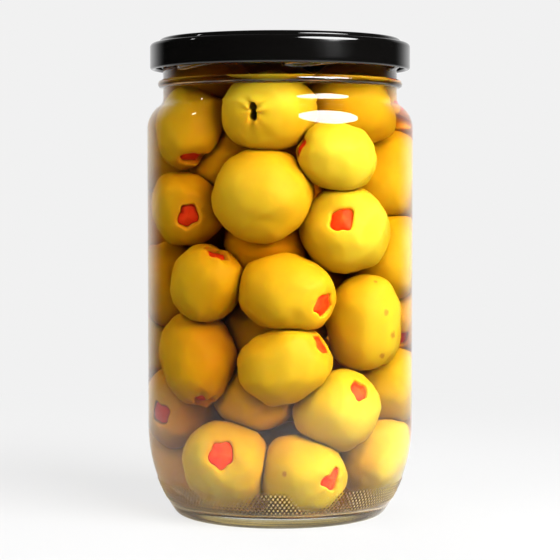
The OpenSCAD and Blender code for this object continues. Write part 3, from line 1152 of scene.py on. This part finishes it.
class OLIVEJAR_OT_olives(bpy.types.Operator):
    """Pack the olives into the jar and put the stuffing in them"""

    bl_idname = "olivejar.olives"
    bl_label = "Olives and Stuffing"

    def execute(self, context):
        settings = context.scene.olivejar_fill
        olives, centres, ends = pack_olives(settings.olive_count, settings.seed)
        rng = np.random.default_rng(settings.seed + 1)
        turns = [turn_to(end, math.radians(olive.roll)) for end, olive in zip(ends, olives)]
        bodies = [
            (centre, turn / (np.array([olive.length, olive.girth, olive.girth]) / 2))
            for centre, turn, olive in zip(centres, turns, olives)
        ]
        mark_gaps(bpy.data.objects["glass_jar"], bodies)
        skins, stuffings, shapes = Batch(), Batch(), []
        for olive, centre, turn, body in zip(olives, centres, turns, bodies):
            points, polar, hole_angle = olive_shape(rng, olive)
            points = add_lumps(points, Vector(rng.uniform(-50, 50, 3)))
            world = centre + points @ turn.T
            near = [other for other in bodies if 0 < np.linalg.norm(other[0] - centre) < 34]
            away = (world - centre) * squeeze(world, body, near, 0.35)[..., None]
            phase = rng.uniform(0, TAU)
            skin, near_rim = dress_skin(centre, away, polar, hole_angle, olive, phase)
            in_pit = (np.arange(len(polar)) < INNER_RINGS)[:, None] * 0.85
            skins.add(skin, ripeness=olive.ripeness, rim=near_rim, pit=in_pit, dull=olive.dull)
            stuffings.add(stuffing_sheet(centre, away, olive, phase), dull=olive.dull)
            shapes.append(away)

        marks = []
        for index, around, up, radius in BROWN_SPOTS:
            way = aim(around, up)
            away = shapes[index].reshape(-1, 3)
            best = away[int(np.argmax(away @ way / np.linalg.norm(away, axis=1)))]
            marks.append((tuple((centres[index] + best) * MM), radius * MM))
        skin_piece = skins.piece("olives", olive_material(tuple(settings.skin), marks))
        core_piece = stuffings.piece("pimento_stuffing", pimento_material(tuple(settings.stuffing)))
        for piece, finish in ((skin_piece, "olive"), (core_piece, "pimento")):
            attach(piece, "root")
        return {"FINISHED"}


# ---------------------------------------------------------------- studio


def behind_the_jar(tree, x, y):
    """1 towards the backdrop behind the jar, 0 to its sides and front."""
    angle = math_node(tree, "ABSOLUTE", math_node(tree, "ARCTAN2", x, y))
    return one_less(tree, smooth_range(tree, angle, math.radians(30), math.radians(60)))


# Painted light and shade on the paper under the jar: the amber light that comes down through the olives and
# the brine
AMBER_SHADE = (0.34, 0.22, 0.07)


def floor_material(pale):
    """Pale paper with a soft shadow, that melts into the backdrop far from the jar. Under the jar its colour
    and its glow are a painted amber shade, and round the jar it glows with a painted amber light for bounced
    rays.
    """
    material, tree, place = new_material("pale_floor")
    grain = noise(tree, place, 400, 2.0)
    away = add_node(tree, "ShaderNodeVectorMath", {0: place}, operation="LENGTH").outputs["Value"]
    # Painted shade and light: under the jar the paper takes AMBER_SHADE, and its glow half of it.
    under = smooth_range(tree, away, 0.026, 0.032)

    def paper(low, high):
        tint = mix_colour(tree, grain, (low, low, low), (high, high, high))
        return diffuse(tree, mix_colour(tree, under, AMBER_SHADE, tint))

    def glow(tint, strength):
        return add_node(tree, "ShaderNodeEmission", {"Color": tint, "Strength": strength}).outputs[0]

    def backdrop(strength):
        shade = tuple(0.5 * c for c in AMBER_SHADE)
        return glow(mix_colour(tree, under, shade, pale), strength)

    def both(first, second):
        return add_node(tree, "ShaderNodeAddShader", {0: first, 1: second}).outputs[0]

    lit = both(paper(0.09, 0.10), backdrop(0.80))
    seen = mix_shaders(tree, smooth_range(tree, away, 0.08, 0.35), lit, backdrop(1.0))
    x, y, _ = add_node(tree, "ShaderNodeSeparateXYZ", {0: place}).outputs
    far = mix_shaders(tree, behind_the_jar(tree, x, y), paper(0.02, 0.03), backdrop(1.0))
    # A painted pool of amber light round the jar, glowing for bounced rays.
    painted_amber_glow = mix_colour(tree, smooth_range(tree, away, 0.05, 0.14), (1.0, 0.72, 0.36), pale)
    near = both(paper(0.40, 0.42), glow(painted_amber_glow, 0.12))
    bounced = mix_shaders(tree, smooth_range(tree, away, 0.2, 0.5), near, far)
    set_surface(tree, mix_shaders(tree, light_path(tree, "Camera"), bounced, seen))
    return material


def studio_world(pale):
    """Pale to look at; as a light, a white backdrop behind the jar and a dim room elsewhere."""
    world = bpy.data.worlds.new("studio")
    bpy.context.scene.world = world
    world.use_nodes = True
    tree = world.node_tree
    tree.nodes.clear()
    way = add_node(tree, "ShaderNodeTexCoord").outputs["Generated"]
    x, y, z = add_node(tree, "ShaderNodeSeparateXYZ", {0: way}).outputs
    high = one_less(tree, smooth_range(tree, z, 0.3, 0.6))
    wall = product(tree, behind_the_jar(tree, x, y), high)
    light = mix_colour(tree, wall, (0.01, 0.01, 0.01), (0.9, 0.9, 0.9))
    lit, seen = (
        add_node(tree, "ShaderNodeBackground", {"Color": tint}).outputs[0] for tint in (light, pale)
    )
    shader = mix_shaders(tree, light_path(tree, "Camera"), lit, seen)
    add_node(tree, "ShaderNodeOutputWorld", {"Surface": shader})


def soft_light(name, around, up, distance, size, power):
    """An oval soft light at these angles round the jar, aimed at its upper half."""
    data = bpy.data.lights.new(name, "AREA")
    data.shape = "ELLIPSE"
    data.size, data.size_y = size
    data.energy = power
    light = bpy.data.objects.new(name, data)
    target = Vector((0, 0, 0.1))
    place = Vector(aim(around, up)) * distance + target
    light.location = place
    light.rotation_euler = (target - place).to_track_quat("-Z", "Y").to_euler()
    bpy.context.scene.collection.objects.link(light)
    return light


class OLIVEJAR_OT_studio(bpy.types.Operator):
    """Set up the camera, the pale floor and backdrop, and the soft lights"""

    bl_idname = "olivejar.studio"
    bl_label = "Studio"

    def execute(self, context):
        settings = context.scene.olivejar_studio
        scene = context.scene
        pale = tuple(settings.pale)
        data = bpy.data.cameras.new("camera")
        data.lens = settings.lens
        data.sensor_width = 36
        camera = bpy.data.objects.new("camera", data)
        camera.location = (0, -settings.distance, settings.height)
        camera.rotation_euler = (math.pi / 2 - settings.pitch, 0, 0)
        scene.collection.objects.link(camera)
        scene.camera = camera

        rings = [(r * 1000, 0.0, 96) for r in (0.0, 0.1, 0.3, 0.8, 2.0, 6.0)]
        vertices, faces = lathe(rings)
        floor = new_piece("floor", vertices, faces, floor_material(pale), smooth=False)

        studio_world(pale)
        key = soft_light("key_softbox", 46, 33.5, 0.70, (0.62, 0.60), settings.key_power)
        side = soft_light("side_lamp", -92, 38, 0.8, (0.045, 0.045), settings.key_power * 0.01)
        fill = soft_light("fill_softbox", -55, 22, 0.90, (0.80, 0.80), settings.key_power * 0.4)
        back = soft_light("back_softbox", 205, 30, 0.90, (0.80, 0.80), settings.key_power * 0.4)
        fill.visible_glossy = back.visible_glossy = False
        for light in (key, side, fill, back):
            light.visible_transmission = False
        scene.view_settings.view_transform = "Standard"
        return {"FINISHED"}


# ---------------------------------------------------------------- panel and run


BUILD_ORDER = ("studio", "glass", "lid", "brine", "olives")


class OLIVEJAR_PT_panel(bpy.types.Panel):
    """Buttons that build each part of the jar"""

    bl_label = "Olive Jar"
    bl_idname = "OLIVEJAR_PT_panel"
    bl_space_type = "VIEW_3D"
    bl_region_type = "UI"
    bl_category = "Olive Jar"

    def draw(self, context):
        for name in BUILD_ORDER:
            self.layout.operator(f"olivejar.{name}")
        for group in ("jar", "lid", "fill", "studio"):
            box = self.layout.box()
            settings = getattr(context.scene, f"olivejar_{group}")
            for key in settings.__annotations__:
                box.prop(settings, key)


SETTINGS = {"jar": JarSettings, "lid": LidSettings, "fill": FillSettings, "studio": StudioSettings}
CLASSES = (
    *SETTINGS.values(),
    OLIVEJAR_OT_studio,
    OLIVEJAR_OT_glass,
    OLIVEJAR_OT_lid,
    OLIVEJAR_OT_brine,
    OLIVEJAR_OT_olives,
    OLIVEJAR_PT_panel,
)


def register():
    for cls in CLASSES:
        bpy.utils.register_class(cls)
    for name, group in SETTINGS.items():
        setattr(bpy.types.Scene, f"olivejar_{name}", bpy.props.PointerProperty(type=group))


def unregister():
    for name in SETTINGS:
        delattr(bpy.types.Scene, f"olivejar_{name}")
    for cls in reversed(CLASSES):
        bpy.utils.unregister_class(cls)


def main():
    register()
    for name in BUILD_ORDER:
        getattr(bpy.ops.olivejar, name)()


if __name__ == "__main__":
    main()
